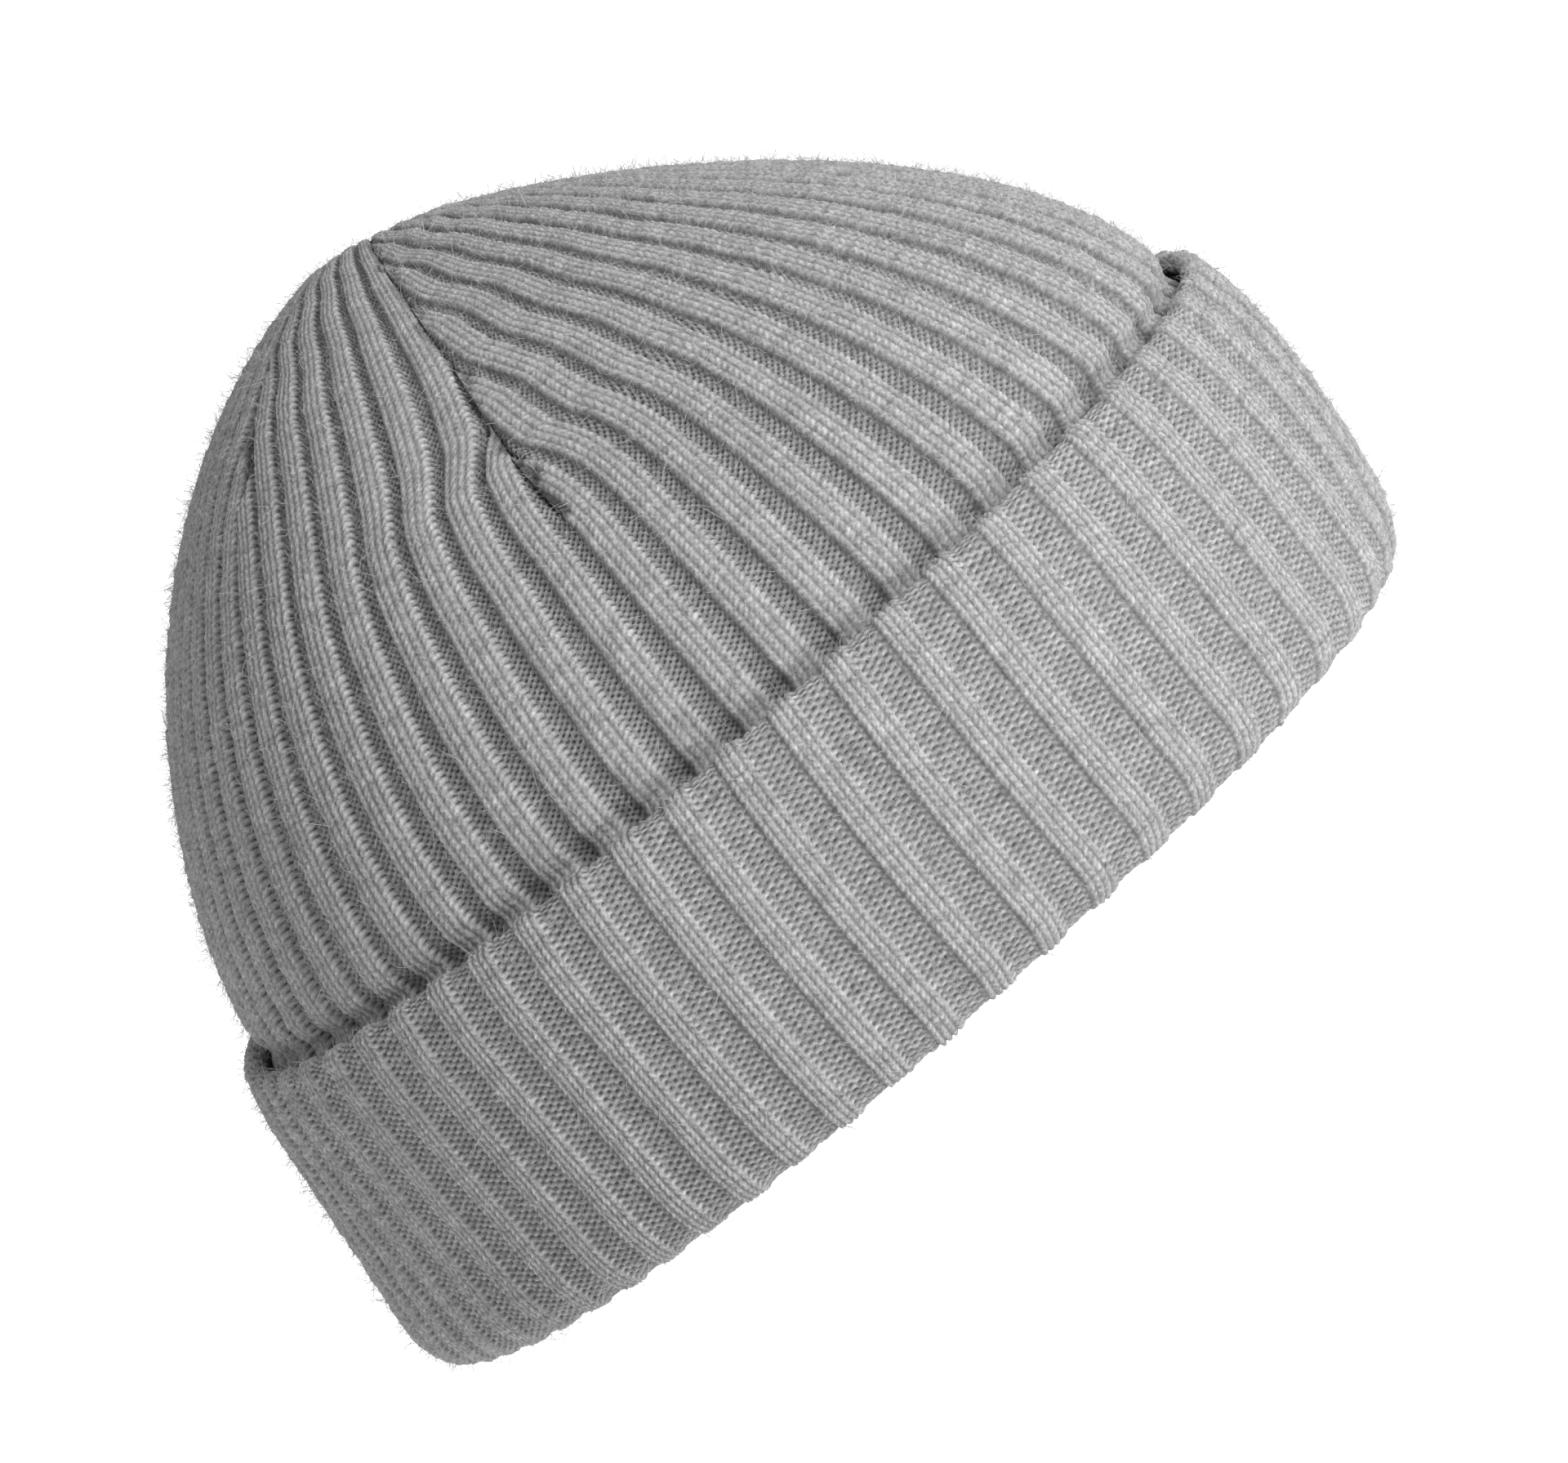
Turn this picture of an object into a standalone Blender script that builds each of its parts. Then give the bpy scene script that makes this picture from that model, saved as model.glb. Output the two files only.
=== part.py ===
"""A knit beanie in heather-grey ribbed yarn, with a turned-up cuff and a crown shaped by six darts.

The hat is knitted as one cloth, and this model splits it where that cloth is worked or sewn differently:
the straight side wall, the six gores between the darts, the gathered crown, the fold, the cuff and its
cast-on edge. The seams, the care label and its thread tacks are pieces of their own. The cloth is a
superellipse in plan, and every ring of it has one facet for each rib. Metres, +Z up, +X to the front.
The hat stands on its fold at z = 0.
"""

import math

import bpy
from mathutils import Vector

# Driving sizes.
RIBS = 60
HALF_LENGTH = 0.0970  # from the middle to the outer face of the body, front to back
HALF_WIDTH = 0.0854
SQUARENESS = 2.3  # 2 is a true ellipse
FABRIC = 0.0030
GAP = 0.0003
CUFF_TOP = 0.0570
CUFF_OUTSET = 0.0077  # the cuff's outer face, outside the body's
CUFF_FABRIC = 0.0036
LEAN = 0.0057  # how far the rim sits behind the cuff's top edge
LEAN_MIDDLE = 0.0300  # the height at which the leaning rings are centred on the origin

# The crown, above the cuff.
CROWN_RISE = 0.0899
CROWN_POWER = 1.58  # a higher power keeps the sides upright for longer
CROWN_POWER_FRONT = 0.07  # added at the front and taken off at the back
CROWN_ROOT = 0.68  # a lower root makes a flatter top
CROWN_ROOT_FRONT = 0.16
DIMPLE_DEPTH = 0.0027
DIMPLE_RADIUS = 0.0113
GORE_START = 0.0960  # the height at which the gores begin
CLOSURE_RADIUS = 0.0050
GATHER_FORWARD = 0.0030  # where the cloth is gathered, from the crown's middle
GATHER_LEFT = 0.0060
LAST_RING = 0.955  # the square root of the way to the apex at which the cloth's last ring lies

# The darts: where each stands round the hat, in degrees from the front, and the height of its foot.
DARTS = {
    "front": (0, 0.1180),
    "left": (90, 0.0985),
    "back_left": (144, 0.1200),
    "back": (180, 0.1200),
    "back_right": (216, 0.1200),
    "right": (270, 0.0985),
}
GORES = ("front_left", "left", "back_left", "back_right", "right", "front_right")

# The cuff's profile, the fold, the edge and the seams.
CUFF_ROUND = 0.0100  # the height below which the cuff rounds in towards the fold
CURL_START = 0.0460  # the height above which the cuff curls in towards its edge
CURL = 0.0006  # how far it has curled in where the edge begins
FOLD_TOP = 0.0047
FOLD_FABRIC = 0.0033
EDGE_RADIUS = 0.0021
SEAM_RADIUS = 0.0012
DART_END_RADIUS = 0.0080

# The care label, which hangs on the back seam.
LABEL_WIDTH = 0.028
LABEL_HEIGHT = 0.045
LABEL_THICKNESS = 0.0006
LABEL_MIDDLE = 0.033
LABEL_REST = math.radians(10)
TACK_RADIUS = 0.0008
TACK_LENGTH = 0.0032

# How finely the surfaces are cut.
WALL_ROWS = 5
CUFF_ROWS = (0.0030, 0.0050, 0.0075, 0.0100, 0.0280, 0.0460, 0.0495, 0.0530, 0.0560)
CROWN_ROWS = 14
FOLD_STEPS = 5  # to each side of the fold
SEAM_POINTS = 10
DART_POINTS = 14
DART_CROWDING = 1.5  # above 1 crowds a dart's points towards its foot
SEAM_STEP = 0.0001  # how far along a surface its slope is read
CLOSURE_STEPS = 24

BACK = math.pi
REACH = 0.30  # wider than the whole hat

GREY_KNIT = (0.37, 0.37, 0.375, 1.0)
GREY_SEAM = (0.30, 0.30, 0.305, 1.0)
WHITE_SATIN = (0.80, 0.79, 0.76, 1.0)


def start_empty():
    """Removes what the scene holds and returns the collections for the parts and for the cutters."""
    for old in list(bpy.data.objects):
        bpy.data.objects.remove(old, do_unlink=True)
    parts = bpy.data.collections.new("knit_beanie")
    cutters = bpy.data.collections.new("cutters")
    bpy.context.scene.collection.children.link(parts)
    bpy.context.scene.collection.children.link(cutters)
    return parts, cutters


# Shapes of the cloth.


def oval_radius(angle, outset):
    """How far a ring reaches from the middle at this angle."""
    along = abs(math.cos(angle) / (HALF_LENGTH + outset)) ** SQUARENESS
    across = abs(math.sin(angle) / (HALF_WIDTH + outset)) ** SQUARENESS
    return (along + across) ** (-1 / SQUARENESS)


def lean_at(height):
    return LEAN * (min(height, CUFF_TOP) - LEAN_MIDDLE) / CUFF_TOP


def ring_point(angle, outset, height):
    """A point of the hat's straight lower part, where every ring has the same shape."""
    radius = oval_radius(angle, outset)
    return Vector((lean_at(height) + radius * math.cos(angle), radius * math.sin(angle), height))


def crown_powers(angle):
    power = CROWN_POWER + CROWN_POWER_FRONT * math.cos(angle)
    return power, CROWN_ROOT + CROWN_ROOT_FRONT * math.cos(angle)


def crown_surface(x, y):
    """The point of the outer face over this place in plan, measured from the crown's middle."""
    angle = math.atan2(y, x)
    power, root = crown_powers(angle)
    inside = min(math.hypot(x, y) / oval_radius(angle, 0), 1)
    level = (1 - inside ** (1 / root)) ** (1 / power)
    from_gather = math.hypot(x - GATHER_FORWARD, y - GATHER_LEFT)
    dimple = DIMPLE_DEPTH * math.exp(-((from_gather / DIMPLE_RADIUS) ** 2))
    return Vector((APEX_X + x, y, CUFF_TOP + CROWN_RISE * level - dimple))


def crown_point(angle, rise):
    """A point of the outer face above the cuff. rise is 0 at the cuff's top and 1 at the gathered crown.

    The lines of equal angle drift on their way up, to the place where the cloth is gathered.
    """
    power, root = crown_powers(angle)
    radius = oval_radius(angle, 0) * (1 - rise**power) ** root
    x = radius * math.cos(angle) + GATHER_FORWARD * rise**3
    return crown_surface(x, radius * math.sin(angle) + GATHER_LEFT * rise**3)


def body_point(angle, height):
    """A point of the outer face at a height below the gores, inside the cuff or above it."""
    if height <= CUFF_TOP:
        return ring_point(angle, 0, height)
    return crown_point(angle, (height - CUFF_TOP) / CROWN_RISE)


def cuff_outset(height):
    """How far the cuff's outer face stands outside the body's, with its rounded foot and curled top."""
    middle = (CUFF_OUTSET - FABRIC) / 2
    below = max(CUFF_ROUND - height, 0) / CUFF_ROUND
    above = max(height - CURL_START, 0) / (CUFF_TOP - 2 * EDGE_RADIUS - CURL_START)
    return middle + (CUFF_OUTSET - middle) * math.sqrt(1 - below**2) - CURL * above**2


def facet_angle(step):
    """Half a step off the axes, so that no facet's edge runs along a dart."""
    return 2 * math.pi * (step + 0.5) / RIBS


def crown_rises():
    """Rows that crowd together towards the flat top."""
    return [1 - (1 - LAST_RING * row / CROWN_ROWS) ** 2 for row in range(1, CROWN_ROWS + 1)]


APEX_X = lean_at(CUFF_TOP)
GATHER = crown_surface(GATHER_FORWARD, GATHER_LEFT)


# Objects and modifiers.


def cloth_material(name, colour, roughness):
    material = bpy.data.materials.new(name)
    material.use_nodes = True
    shader = material.node_tree.nodes["Principled BSDF"]
    shader.inputs["Base Color"].default_value = colour
    shader.inputs["Roughness"].default_value = roughness
    shader.inputs["Metallic"].default_value = 0.0
    return material


def place(name, data, collection, material):
    thing = bpy.data.objects.new(name, data)
    collection.objects.link(thing)
    if material:
        data.materials.clear()
        data.materials.append(material)
    return thing


def rings_mesh(name, rings):
    """An open surface through closed rings of points, wound so that its faces look outwards."""
    points = [point for ring in rings for point in ring]
    faces = []
    for row in range(len(rings) - 1):
        for step in range(RIBS):
            here = row * RIBS + step
            beside = row * RIBS + (step + 1) % RIBS
            faces.append((here, beside, beside + RIBS, here + RIBS))
    mesh = bpy.data.meshes.new(name)
    mesh.from_pydata(points, [], faces)
    mesh.validate()
    return mesh


def add_solidify(thing, thickness, offset):
    solidify = thing.modifiers.new("fabric", "SOLIDIFY")
    solidify.thickness = thickness
    solidify.offset = offset
    solidify.use_even_offset = True


def add_boolean(thing, cutter, operation):
    boolean = thing.modifiers.new(operation.lower(), "BOOLEAN")
    boolean.operation = operation
    boolean.solver = "EXACT"
    boolean.object = cutter


def hide_cutter(cutter, cutters):
    for home in list(cutter.users_collection):
        home.objects.unlink(cutter)
    cutters.objects.link(cutter)
    cutter.hide_render = True
    cutter.display_type = "WIRE"
    return cutter


def box_cutter(name, low, high, cutters):
    middle = [(a + b) / 2 for a, b in zip(low, high)]
    size = [b - a for a, b in zip(low, high)]
    bpy.ops.mesh.primitive_cube_add(size=1, location=middle, scale=size)
    cutter = bpy.context.object
    cutter.name = name
    return hide_cutter(cutter, cutters)


def slice_cutter(name, low, high, cutters):
    """A slab that keeps what lies between two heights."""
    return box_cutter(name, (-REACH, -REACH, low), (REACH, REACH, high), cutters)


def wedge_cutter(name, first, last, cutters):
    """A wedge that keeps what lies between two directions from the gathered middle, above the side wall."""
    half_gap = GAP / 2
    corner = GATHER.xy + half_gap * (first + last) / abs(first.cross(last))
    outline = [corner, corner + REACH * first, corner + REACH * last]
    points = [(x, y, z) for z in (GORE_START + GAP, REACH) for x, y in outline]
    faces = [(2, 1, 0), (3, 4, 5), (0, 1, 4, 3), (1, 2, 5, 4), (2, 0, 3, 5)]
    mesh = bpy.data.meshes.new(name)
    mesh.from_pydata(points, [], faces)
    cutter = bpy.data.objects.new(name, mesh)
    bpy.context.scene.collection.objects.link(cutter)
    return hide_cutter(cutter, cutters)


def cord(name, points, radius, closed, collection, material):
    """A round cord along the points, as sewn or linked yarn lies."""
    curve = bpy.data.curves.new(name, "CURVE")
    curve.dimensions = "3D"
    curve.bevel_depth = radius
    curve.bevel_resolution = 2
    curve.use_fill_caps = True
    spline = curve.splines.new("POLY")
    spline.points.add(len(points) - 1)
    for slot, point in zip(spline.points, points):
        slot.co = (*point, 1.0)
    spline.use_cyclic_u = closed
    return place(name, curve, collection, material)


# The hat's pieces.


def body_cloth():
    """The whole body as one open surface, from inside the fold to the gathered crown."""
    low = FOLD_TOP / 2
    heights = [low + (CUFF_TOP - low) * row / WALL_ROWS for row in range(WALL_ROWS + 1)]
    rings = [[ring_point(facet_angle(step), 0, height) for step in range(RIBS)] for height in heights]
    for rise in crown_rises():
        rings.append([crown_point(facet_angle(step), rise) for step in range(RIBS)])
    return rings_mesh("body_cloth", rings)


def make_body(parts, cutters):
    """The side wall and the gores, cut from one solidified cloth so that their faces meet."""
    cloth = body_cloth()
    wall_knit = cloth_material("rib_knit_wall", GREY_KNIT, 0.95)
    crown_knit = cloth_material("rib_knit_crown", GREY_KNIT, 0.95)
    wall = place("side_wall", cloth, parts, wall_knit)
    add_solidify(wall, FABRIC, -1)
    add_boolean(wall, slice_cutter("keep_wall", FOLD_TOP + GAP, GORE_START, cutters), "INTERSECT")

    bpy.ops.mesh.primitive_cylinder_add(
        vertices=CLOSURE_STEPS,
        radius=CLOSURE_RADIUS + GAP,
        depth=REACH,
        location=GATHER,
    )
    hole = bpy.context.object
    hole.name = "closure_hole"
    hide_cutter(hole, cutters)

    darts = list(DARTS)
    for name, first, last in zip(GORES, darts, darts[1:] + darts[:1]):
        gore = place(f"crown_gore_{name}", cloth.copy(), parts, crown_knit)
        add_solidify(gore, FABRIC, -1)
        keep = wedge_cutter(f"keep_{name}", dart_direction(first), dart_direction(last), cutters)
        add_boolean(gore, keep, "INTERSECT")
        add_boolean(gore, hole, "DIFFERENCE")


def dart_foot(dart):
    degrees, foot = DARTS[dart]
    return body_point(math.radians(degrees), foot)


def dart_direction(dart):
    """From the gathered middle to the foot of a dart, in plan."""
    return (dart_foot(dart) - GATHER).xy.normalized()


def dart_route(dart):
    """Up the inner face along a dart, a seam's radius inside the fabric."""
    foot = dart_foot(dart)
    inset = FABRIC + GAP + SEAM_RADIUS
    last = 1 - DART_END_RADIUS / (foot - GATHER).xy.length
    route = []
    for row in range(DART_POINTS + 1):
        here = foot.lerp(GATHER, last * (row / DART_POINTS) ** DART_CROWDING)
        x = here.x - APEX_X
        point = crown_surface(x, here.y)
        along_x = crown_surface(x + SEAM_STEP, here.y) - point
        along_y = crown_surface(x, here.y + SEAM_STEP) - point
        route.append(point - inset * along_x.cross(along_y).normalized())
    return route


def back_route():
    """Up the inner face of the wall at the back, a seam's radius inside the fabric."""
    inset = FABRIC + GAP + SEAM_RADIUS
    low = FOLD_TOP + 2 * GAP
    rise = GORE_START - SEAM_RADIUS - low
    route = []
    for row in range(SEAM_POINTS + 1):
        height = low + rise * row / SEAM_POINTS
        point = body_point(BACK, height)
        along = (body_point(BACK, height + SEAM_STEP) - point).normalized()
        route.append(point + inset * along.cross(Vector((0, -1, 0))))
    return route


def make_seams(parts):
    """The linked ridge inside each dart, and the sewn ridge up the back of the wall."""
    dart_yarn = cloth_material("linking_yarn", GREY_SEAM, 0.9)
    for dart in DARTS:
        cord(f"dart_seam_{dart}", dart_route(dart), SEAM_RADIUS, False, parts, dart_yarn)
    seam_yarn = cloth_material("seam_yarn", GREY_SEAM, 0.9)
    cord("back_seam", back_route(), SEAM_RADIUS, False, parts, seam_yarn)


def make_closure(parts):
    """The last stitches, drawn together into a small puckered button."""
    profile = (
        (0.0, 0.0000),
        (0.42, 0.0002),
        (0.80, 0.0000),
        (0.98, -0.0008),
        (1.00, -0.0018),
        (0.86, -0.0032),
        (0.45, -0.0042),
        (0.0, -0.0044),
    )
    mesh = bpy.data.meshes.new("crown_closure")
    points = [(CLOSURE_RADIUS * across, 0, height) for across, height in profile]
    mesh.from_pydata(points, [(row, row + 1) for row in range(len(points) - 1)], [])
    closure = place("crown_closure", mesh, parts, cloth_material("drawn_yarn", GREY_SEAM, 0.95))
    closure.location = GATHER
    screw = closure.modifiers.new("turn", "SCREW")
    screw.steps = CLOSURE_STEPS
    screw.render_steps = CLOSURE_STEPS
    screw.use_merge_vertices = True
    screw.merge_threshold = 0.00001


def make_cuff(parts, cutters):
    """The cuff, its fold, its rounded cast-on edge and its seam, under one empty that slides down the wall."""
    slide = bpy.data.objects.new("cuff_slide", None)
    parts.objects.link(slide)

    edge_middle = CUFF_TOP - EDGE_RADIUS
    cuff_high = edge_middle - EDGE_RADIUS - GAP
    rings = []
    for height in CUFF_ROWS:
        rings.append([ring_point(facet_angle(step), cuff_outset(height), height) for step in range(RIBS)])
    cuff_knit = cloth_material("rib_knit_cuff", GREY_KNIT, 0.95)
    cuff = place("cuff", rings_mesh("cuff", rings), parts, cuff_knit)
    add_solidify(cuff, CUFF_FABRIC, -1)
    add_boolean(cuff, slice_cutter("keep_cuff", FOLD_TOP + GAP, cuff_high, cutters), "INTERSECT")

    # The fold is a U between the wall's inner face and the cuff's outer face, taller on its outer side.
    middle = (CUFF_OUTSET - FABRIC) / 2
    radius = (CUFF_OUTSET + FABRIC - FOLD_FABRIC) / 2
    lowest = FOLD_TOP - radius
    section = [(middle - radius, FOLD_TOP + FABRIC)]
    for step in range(2 * FOLD_STEPS + 1):
        bend = math.pi * (1 + step / (2 * FOLD_STEPS))
        top = FOLD_TOP if step <= FOLD_STEPS else CUFF_ROUND
        section.append((middle + radius * math.cos(bend), top + (top - lowest) * math.sin(bend)))
    rings = [[ring_point(facet_angle(step), out, z) for step in range(RIBS)] for out, z in section]
    fold_knit = cloth_material("rib_knit_fold", GREY_KNIT, 0.95)
    fold = place("cuff_fold", rings_mesh("cuff_fold", rings), parts, fold_knit)
    add_solidify(fold, FOLD_FABRIC, 0)
    add_boolean(fold, slice_cutter("keep_fold", 0, FOLD_TOP, cutters), "INTERSECT")

    edge_knit = cloth_material("cast_on_yarn", GREY_KNIT, 0.95)
    edge_out = cuff_outset(cuff_high) - EDGE_RADIUS
    route = [ring_point(facet_angle(step), edge_out, edge_middle) for step in range(RIBS)]
    edge = cord("cast_on_edge", route, EDGE_RADIUS, True, parts, edge_knit)

    seam_out = CUFF_OUTSET - CUFF_FABRIC - GAP - SEAM_RADIUS
    seam_yarn = cloth_material("cuff_seam_yarn", GREY_SEAM, 0.9)
    route = [ring_point(BACK, seam_out, z) for z in (CUFF_ROUND, CUFF_TOP / 2, CURL_START)]
    seam = cord("cuff_seam", route, SEAM_RADIUS, False, parts, seam_yarn)

    for piece in (cuff, fold, edge, seam):
        piece.parent = slide


def make_label(parts):
    """The blank satin care label, hinged on the thread tacks that hold it to the back seam."""
    inset = FABRIC + GAP + 2 * SEAM_RADIUS + GAP + TACK_RADIUS
    hinge = bpy.data.objects.new("label_hinge", None)
    hinge.location = ring_point(BACK, -inset, LABEL_MIDDLE)
    hinge.rotation_euler = (0, math.atan2(LEAN, CUFF_TOP), 0)
    parts.objects.link(hinge)

    bpy.ops.mesh.primitive_cube_add(size=1)
    label = bpy.context.object
    label.name = "care_label"
    for corner in label.data.vertices:
        corner.co.x *= LABEL_THICKNESS
        corner.co.y = (corner.co.y + 0.5) * LABEL_WIDTH
        corner.co.z *= LABEL_HEIGHT
    label.rotation_euler = (0, 0, -LABEL_REST)
    label.parent = hinge
    bpy.context.collection.objects.unlink(label)
    parts.objects.link(label)
    label.data.materials.append(cloth_material("label_satin", WHITE_SATIN, 0.45))

    tack_thread = cloth_material("tack_thread", WHITE_SATIN, 0.6)
    away = LABEL_HEIGHT / 2 + GAP + TACK_LENGTH / 2
    for end, side in (("top", 1), ("bottom", -1)):
        bpy.ops.mesh.primitive_cylinder_add(vertices=12, radius=TACK_RADIUS, depth=TACK_LENGTH)
        tack = bpy.context.object
        tack.name = f"label_tack_{end}"
        tack.location = (0, 0, side * away)
        tack.parent = hinge
        bpy.context.collection.objects.unlink(tack)
        parts.objects.link(tack)
        tack.data.materials.append(tack_thread)


def main():
    parts, cutters = start_empty()
    make_body(parts, cutters)
    make_seams(parts)
    make_closure(parts)
    make_cuff(parts, cutters)
    make_label(parts)


main()
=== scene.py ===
"""The looks of the knit beanie: every stitch of its two-by-two rib, in heather-grey yarn.

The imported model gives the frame. Each knitted part of it is replaced by a cloth whose two faces carry the
rib, the legs of the knit stitches and the bumps of the purl stitches as real relief. The cloth's surface
repeats the formulas of the CAD source, apart from a waist under the cuff's edge and the soft swells of the
cuff. Metres, +Z up, +X to the front of the hat.
"""

import math

import bpy
import numpy as np
from mathutils import Matrix, Vector

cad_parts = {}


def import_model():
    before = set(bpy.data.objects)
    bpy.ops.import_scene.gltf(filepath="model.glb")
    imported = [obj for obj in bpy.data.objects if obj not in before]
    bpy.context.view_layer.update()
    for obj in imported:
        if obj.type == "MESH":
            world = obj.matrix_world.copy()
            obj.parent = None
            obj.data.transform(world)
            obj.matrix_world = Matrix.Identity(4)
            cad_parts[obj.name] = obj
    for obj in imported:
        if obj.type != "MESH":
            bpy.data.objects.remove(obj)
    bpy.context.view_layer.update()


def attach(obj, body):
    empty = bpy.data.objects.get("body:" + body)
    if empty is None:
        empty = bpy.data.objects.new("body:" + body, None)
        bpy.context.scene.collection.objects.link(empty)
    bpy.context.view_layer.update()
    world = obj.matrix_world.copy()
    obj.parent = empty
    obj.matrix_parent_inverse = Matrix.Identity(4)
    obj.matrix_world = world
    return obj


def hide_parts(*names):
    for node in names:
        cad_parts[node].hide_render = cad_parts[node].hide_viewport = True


# The hat's shape, as in the CAD source.
HALF_LENGTH = 0.0970
HALF_WIDTH = 0.0854
SQUARENESS = 2.3
FABRIC = 0.0030
CUFF_TOP = 0.0570
CUFF_OUTSET = 0.0077
LEAN = 0.0057
LEAN_MIDDLE = 0.0300
CROWN_RISE = 0.0899
CROWN_POWER = 1.58
CROWN_POWER_FRONT = 0.07
CROWN_ROOT = 0.68
CROWN_ROOT_FRONT = 0.16
DIMPLE_DEPTH = 0.0027
DIMPLE_RADIUS = 0.0113
GORE_START = 0.0960
FOLD_TOP = 0.0047
CUFF_ROUND = 0.0100  # the height below which the cuff rounds in towards the fold
CURL_START = 0.0460
CURL = 0.0006
CURL_END = 0.0528
CLOSURE_RADIUS = 0.0050
SEAM_RADIUS = 0.0012
SEAM_INSET = 0.0045  # from the body's outer face to the middle of a seam inside it
LABEL_WIDTH = 0.028
LABEL_HEIGHT = 0.045
LABEL_REST = math.radians(10)
LABEL_HINGE = (-0.0899, 0.0, 0.033)
TACK_LENGTH = 0.0032
GAP = 0.0003
APEX_X = LEAN * (CUFF_TOP - LEAN_MIDDLE) / CUFF_TOP
GATHER_FORWARD = 0.0030  # where the ribs gather, from the crown's middle
GATHER_LEFT = 0.0060
ARC_POINTS = 300  # how finely the cuff's cross-section is cut, on each of its bends and on its upright part
LEG_POINTS = 800

# The knitting. A rib repeat is two knit wales and two purl wales.
RIBS = 60
REPEAT = 4
WALES = RIBS * REPEAT
COURSE = 0.0012
KNIT_SHARE_BODY = 0.64  # how much of a repeat the knit wales take, where the purl ones tuck in
KNIT_SHARE_CROWN = 0.09  # how much more they take half way up the crown
KNIT_SHARE_CUFF = 0.48
RIB_DEPTH_BODY = 0.0017
FLANK = 0.42  # how many wales the side of a rib takes
CLOTH = 0.0022  # one layer of yarn, from the outer to the inner face
LEG_HEIGHT = 0.00060
BUMP_HEIGHT = 0.00080
LEG_SLANT = 1.1  # courses that a leg climbs across its half wale
WANDER = 0.05  # how far a wale strays sideways, in wales
CROWDING = 0.123  # how much narrower the ribs are at the back, and wider at the front
TURN = -1.29 / 360  # the pattern's start, as a share of the way round
BACK_LEAN = 3.4 / 360  # how far the ribs at the back lean backwards on their way up
CUFF_TWIST = 1.8 / 360  # how far the cuff's ribs lean forwards on their way up
CUFF_TWIST_BACK = 4.4 / 360  # how much more they lean at the back
CUFF_PHASE = -0.7  # in wales
CUFF_VALLEY_SHADE_LEVEL = 0.45  # how light the painted shade leaves the cuff's purl wales, against its knit ones
WAIST_DEPTH = 0.0016  # how far the cuff's edge draws the body in
WAIST_WIDTH = 0.0022
LIP_FRONT = 0.0030  # how much closer to the body the edge lies at the front, and at the back
LIP_BACK = 0.0018
FIBRE_LENGTH = 0.0022
FIBRE_WIDTH = 0.00007
FIBRE_PARTS = 3
FIBRE_ROOT = 0.0001  # how deep in the yarn a fibre starts
BODY_FIBRES = 60000
BODY_FIBRES_FROM = 0.059  # the height above which the body is seen
CUFF_FIBRES = 42000

# The darts of the crown: the wale each stands on, the share of the crown's arc at its foot, the wales lost
# by the top on the side before it and on the side after it, and how much of that is lost evenly.
DARTS = {
    "front": (0, 0.59, 22, 22, 1.0),
    "left": (56, 0.335, 22, 6, 0.62),
    "back_left": (88, 0.60, 16, 6, 0.62),
    "back": (120, 0.62, 17, 17, 0.8),
    "back_right": (152, 0.60, 6, 16, 0.62),
    "right": (184, 0.335, 6, 22, 0.62),
}
DART_BOW = {"left": 0.6, "right": -0.6}  # how far a dart bows backwards, in wales
BOW_SHARE = 0.44
BOW_WIDTH = 0.10
BOW_START = 0.26
BOW_EASE = 0.06
BEND_LOW = 9.5  # how many wales from a dart the ribs bend towards it, near its foot and at the top
BEND_HIGH = 24.0
BEND_START = 0.35  # the shares of the crown's arc between which that reach grows
BEND_SPAN = 0.6
GORES = ("front_left", "left", "back_left", "back_right", "right", "front_right")
SMALL_LOSS = 8  # a dart side that loses fewer wales than this loses them near the dart's foot
EARLY_LOSS = 0.38
LOSS_BLUR = 9.0  # in courses
TILT_COURSES = 30  # the courses above the gores' foot over which the rows turn square to the wales
DART_DEPTH = 0.0012
DART_WIDTH = 0.45  # in wales
DART_JOG = 0.25
RING_HEIGHT = 0.0006  # how far the crowded ribs bulge round the gather
RING_SHARE = 0.915
RING_WIDTH = 0.035

# The yarn of the seams, and how finely a yarn is cut round.
SEAM_PITCH = 0.0034
ROPE_SIDES = 16

# The cuff's rolled edge, which starts where the cuff's CAD solid ends.
EDGE_START = 0.0525
LIP_OUT = 0.0048
LIP_HEIGHT = 0.0549
LIP_RADIUS = 0.0021
LIP_TURN = math.radians(240)

# How finely the cloth is cut: columns to a wale and rows to a course.
FINE = (6, 4)
COARSE = (2, 1)
CROWN_END = 0.965  # the share of the crown's arc at which the gathered middle takes over

SEED = 7

# The photographic set.
VIEW_ELEVATION = math.radians(8)
VIEW_ROLL = math.radians(41)
VIEW_DISTANCE = 1.3
VIEW_WIDTH = 0.2536  # of the hat's middle plane across the picture
VIEW_RIGHT = 0.0250  # from the hat's middle to the picture's, along the picture's own axes
VIEW_DOWN = 0.0234
VIEW_MIDDLE = 0.0745
SENSOR = 36.0
ROOM_LIGHT = 0.42
FLOOR_LIGHT = 0.48
FLOOR_DROP = 0.060  # far enough below the hat for its cuff to turn down
KEY_POWER = 14.0

GREY_LIGHT = (0.59, 0.59, 0.59)
GREY_DARK = (0.13, 0.13, 0.13)
PATCH_SHADE = (0.94, 1.06)  # the darkest and lightest that the yarn's patches and strands make it, and that the painted shade in the stitches' grooves and the ribs' valleys makes it
PAINTED_STITCH_SHADE = (0.06, 1.66)
PAINTED_RIB_SHADE = (0.74, 1.02)
STRAND_SHADE = (0.62, 1.38)

rng = np.random.default_rng(SEED)


# The shape of the cloth, for whole arrays of points at once.


def oval_radius(angle, outset):
    along = np.abs(np.cos(angle) / (HALF_LENGTH + outset)) ** SQUARENESS
    across = np.abs(np.sin(angle) / (HALF_WIDTH + outset)) ** SQUARENESS
    return (along + across) ** (-1 / SQUARENESS)


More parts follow.
